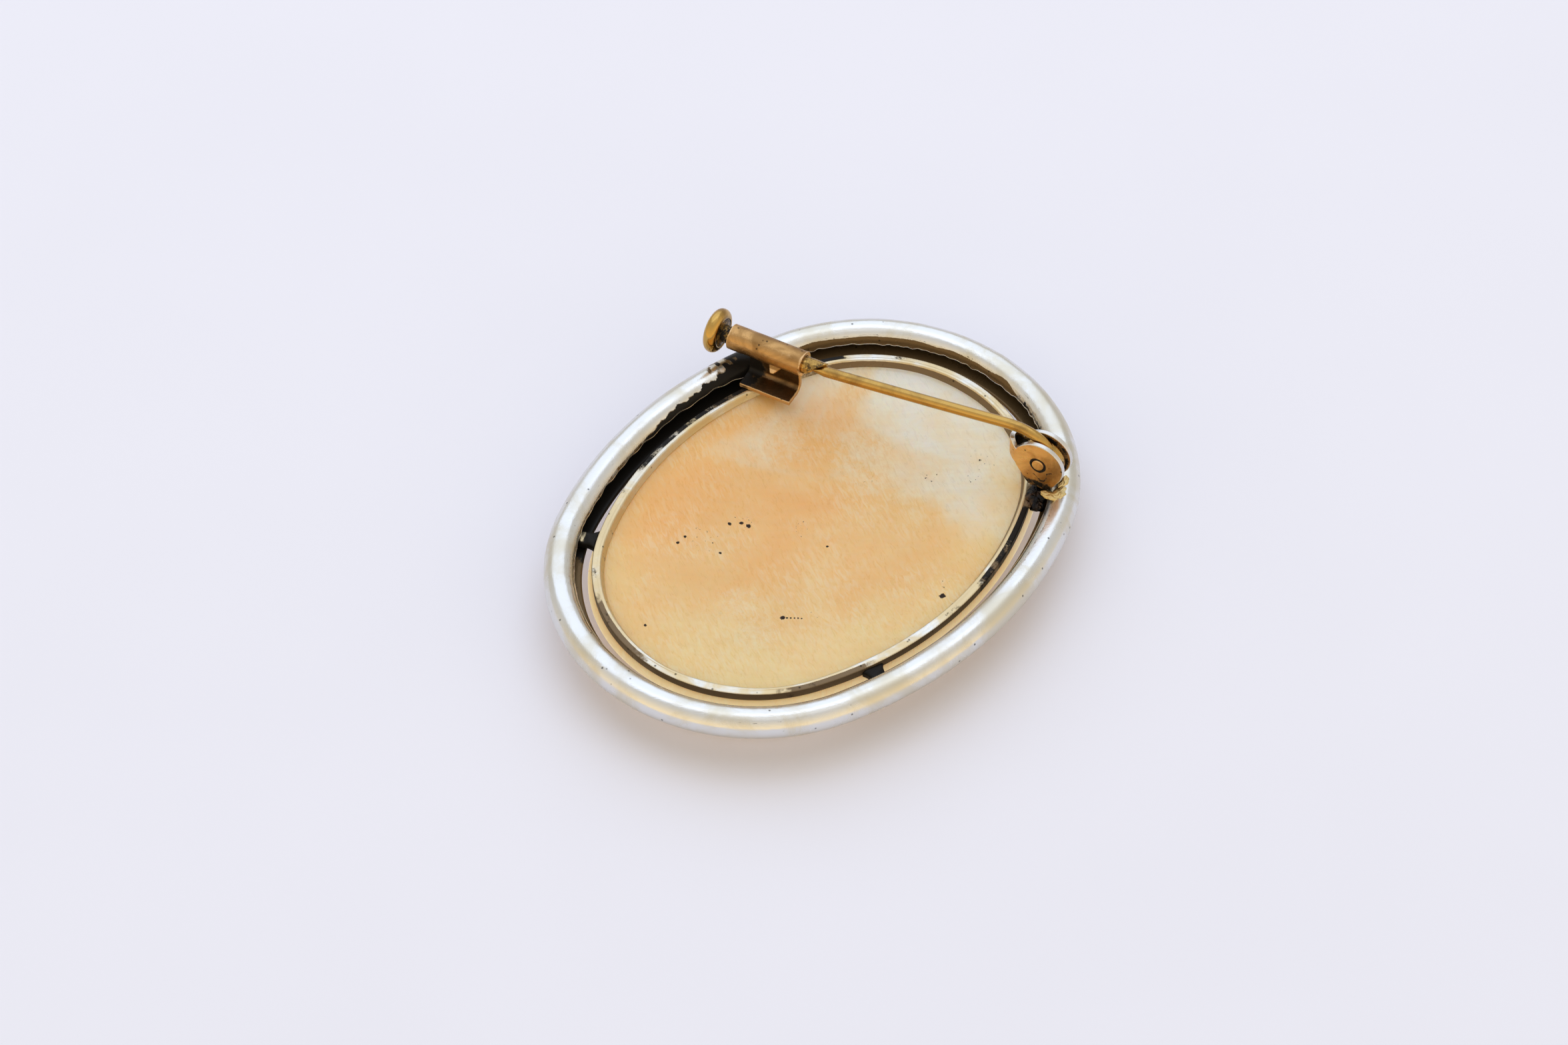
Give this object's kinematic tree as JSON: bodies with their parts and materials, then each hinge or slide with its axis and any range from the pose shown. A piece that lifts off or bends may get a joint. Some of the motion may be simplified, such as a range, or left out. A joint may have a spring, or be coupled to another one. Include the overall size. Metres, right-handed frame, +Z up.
{
  "type": "cameo brooch",
  "caption": "Oval cameo brooch lying face down: a carved shell plate held by a flat silver collet in a hollow silver frame, with a hinged pin and a sliding tube catch on its back.",
  "frame": {"origin": "the point under the middle of the oval, on the surface that the brooch lies on", "axes": "+X across the oval towards the hinge's side, +Y along the oval towards the pin's end, +Z up, towards the brooch's back"},
  "size_m": [0.0407, 0.0524, 0.0119],
  "materials": {
    "silver": "polished silver, tarnished in the seams",
    "shell": "polished shell, apricot to cream",
    "rose_gold": "worn rolled gold on copper",
    "brass": "worn brass"
  },
  "bodies": {
    "brooch": {"setting": "silver", "cameo_shell": "shell", "rivet": "brass"},
    "pin": {"pin": "brass"},
    "plunger": {"plunger": "brass"}
  },
  "joints": [
    {"name": "pin_swing", "type": "hinge", "parent": "brooch", "child": "pin", "pos_m": [0.01218, 0.01658, 0.0086], "axis": [-0.2419, 0.9703, 0], "range_deg": [0, 80]},
    {"name": "plunger_slide", "type": "slide", "parent": "brooch", "child": "plunger", "axis": [-0.9703, -0.2419, 0], "range_m": [0, 0.0027]}
  ]
}
